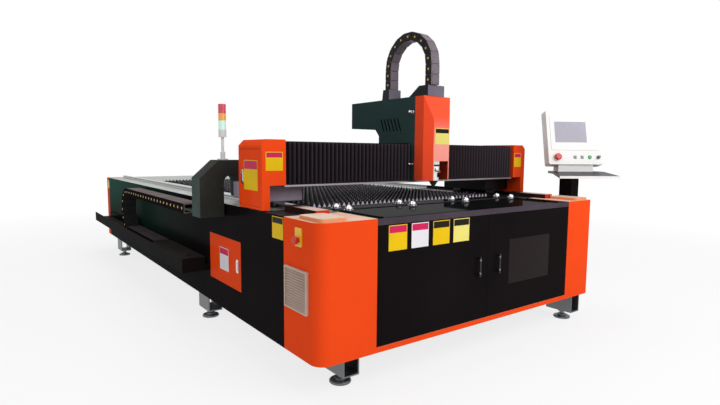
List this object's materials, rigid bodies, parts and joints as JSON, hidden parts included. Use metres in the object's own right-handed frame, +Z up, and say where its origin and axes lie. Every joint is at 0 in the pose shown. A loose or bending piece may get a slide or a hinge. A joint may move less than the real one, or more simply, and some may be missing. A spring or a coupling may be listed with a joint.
{
  "type": "fiber laser cutting machine",
  "caption": "Open-bed sheet metal laser cutter with a toothed slat table, a gantry with bellows and a bevelled cutting head, drag chains, a tower light and a swivel console.",
  "frame": {"origin": "on the floor under the middle of the overall box", "axes": "+Y along the bed from its front doors to its back, +X to the right seen from the front, +Z up"},
  "size_m": [2.8386, 5.008, 2.004],
  "materials": {
    "orange_paint": "powder coat, satin",
    "black_paint": "powder coat, fine texture",
    "dark_green_paint": "powder coat, satin",
    "bed_steel": "machined and painted",
    "frame_steel": "painted tube",
    "rail_steel": "ground",
    "slat_steel": "cut plate, darkened",
    "bright_steel": "polished",
    "zinc_steel": "zinc plated",
    "grille": "moulded",
    "yellow_plastic": "moulded",
    "red_plastic": "moulded",
    "chain_plastic": "glass filled",
    "handle_plastic": "moulded",
    "servo_black": "painted",
    "bellows_cloth": "coated pleats",
    "strip_aluminium": "extruded",
    "tower_grey": "moulded",
    "tower_lens": "clear tinted",
    "head_metal": "anodised",
    "console_white": "powder coat",
    "console_screen": "matt display",
    "tray_dark": "powder coat",
    "button_plastic": "moulded",
    "green_plastic": "moulded"
  },
  "bodies": {
    "bed": {"bed_frame": "frame_steel", "side_beams": "bed_steel", "guide_rails": "rail_steel", "rail_end_caps": "orange_paint", "side_panels": "black_paint", "rear_panel": "black_paint", "front_surround": "orange_paint", "rear_corners": "orange_paint", "front_apron": "black_paint", "rear_deck": "bed_steel", "cutting_slats": "slat_steel", "slag_pan": "frame_steel", "ball_transfers": "bright_steel", "foot_brackets": "zinc_steel", "levelling_feet": "zinc_steel", "vent_grille": "grille", "stop_plate": "yellow_plastic", "chain_tray": "black_paint", "y_chain_lower": "chain_plastic", "y_chain_bend": "chain_plastic", "console_post": "black_paint"},
    "side_stop": {"side_stop": "red_plastic"},
    "door_left": {"front_door_left": "black_paint", "door_handle_left": "handle_plastic"},
    "door_right": {"front_door_right": "black_paint", "door_handle_right": "handle_plastic"},
    "access_door": {"access_door": "orange_paint", "access_lock": "bright_steel"},
    "gantry": {"gantry_girder": "black_paint", "gantry_bases": "dark_green_paint", "gantry_runners": "rail_steel", "gantry_covers": "orange_paint", "gantry_servos": "servo_black", "bellows_left": "bellows_cloth", "bellows_right": "bellows_cloth", "bellows_strip": "strip_aluminium", "knee_bracket": "dark_green_paint", "tower_pole": "tower_grey", "tower_lenses": "tower_lens", "y_chain_upper": "chain_plastic"},
    "hatch": {"hatch": "orange_paint", "hatch_lock": "bright_steel"},
    "carriage": {"carriage_saddle": "dark_green_paint", "carriage_housing": "dark_green_paint", "head_cover": "orange_paint", "carriage_knobs": "bright_steel", "chain_brackets": "dark_green_paint", "arch_chain": "chain_plastic"},
    "z_head": {"z_slide": "rail_steel", "laser_head": "head_metal", "laser_nozzle": "head_metal"},
    "console": {"console_box": "console_white", "console_bezel": "console_white", "console_screen": "console_screen", "keyboard_tray": "tray_dark"},
    "console_stop": {"console_stop": "red_plastic"},
    "console_button_left": {"console_button_left": "button_plastic"},
    "console_button_right": {"console_button_right": "button_plastic"},
    "console_start": {"console_start": "green_plastic"},
    "console_key": {"console_key": "button_plastic"}
  },
  "joints": [
    {"name": "gantry_slide", "type": "slide", "parent": "bed", "child": "gantry", "axis": [0, 1, 0], "range_m": [-0.08, 2.9], "deforming": ["y_chain_upper", "y_chain_bend", "y_chain_lower"]},
    {"name": "carriage_slide", "type": "slide", "parent": "gantry", "child": "carriage", "axis": [1, 0, 0], "range_m": [-0.79, 0.68], "deforming": ["bellows_left", "bellows_right"]},
    {"name": "head_lift", "type": "slide", "parent": "carriage", "child": "z_head", "axis": [0, 0, 1], "range_m": [-0.075, 0.02]},
    {"name": "door_left_hinge", "type": "hinge", "parent": "bed", "child": "door_left", "pos_m": [-0.90414, -2.38602, 0.22], "axis": [0, 0, 1], "range_deg": [-105, 0]},
    {"name": "door_right_hinge", "type": "hinge", "parent": "bed", "child": "door_right", "pos_m": [0.76846, -2.38602, 0.22], "axis": [0, 0, 1], "range_deg": [0, 105]},
    {"name": "access_hinge", "type": "hinge", "parent": "bed", "child": "access_door", "pos_m": [-1.24934, -1.00782, 0.359], "axis": [0, 0, 1], "range_deg": [-95, 0]},
    {"name": "hatch_hinge", "type": "hinge", "parent": "gantry", "child": "hatch", "pos_m": [-1.24934, -1.79422, 0.897], "axis": [0, 0, 1], "range_deg": [0, 100]},
    {"name": "console_swivel", "type": "hinge", "parent": "bed", "child": "console", "pos_m": [1.19366, -2.12102, 1.069], "axis": [0, 0, 1], "range_deg": [-25, 60]},
    {"name": "side_stop_press", "type": "slide", "parent": "bed", "child": "side_stop", "axis": [1, 0, 0], "range_m": [0, 0.004], "stiffness_N_per_m": 600, "springref_m": -0.002},
    {"name": "console_stop_press", "type": "slide", "parent": "console", "child": "console_stop", "axis": [0.5195, 0.8154, -0.2554], "range_m": [0, 0.004], "stiffness_N_per_m": 600, "springref_m": -0.002},
    {"name": "button_left_press", "type": "slide", "parent": "console", "child": "console_button_left", "axis": [0.5195, 0.8154, -0.2554], "range_m": [0, 0.004], "stiffness_N_per_m": 600, "springref_m": -0.002},
    {"name": "button_right_press", "type": "slide", "parent": "console", "child": "console_button_right", "axis": [0.5195, 0.8154, -0.2554], "range_m": [0, 0.004], "stiffness_N_per_m": 600, "springref_m": -0.002},
    {"name": "start_press", "type": "slide", "parent": "console", "child": "console_start", "axis": [0.5195, 0.8154, -0.2554], "range_m": [0, 0.004], "stiffness_N_per_m": 600, "springref_m": -0.002},
    {"name": "key_turn", "type": "hinge", "parent": "console", "child": "console_key", "pos_m": [1.28776, -2.29343, 1.17818], "axis": [0.5195, 0.8154, -0.2554], "range_deg": [0, 60]}
  ]
}
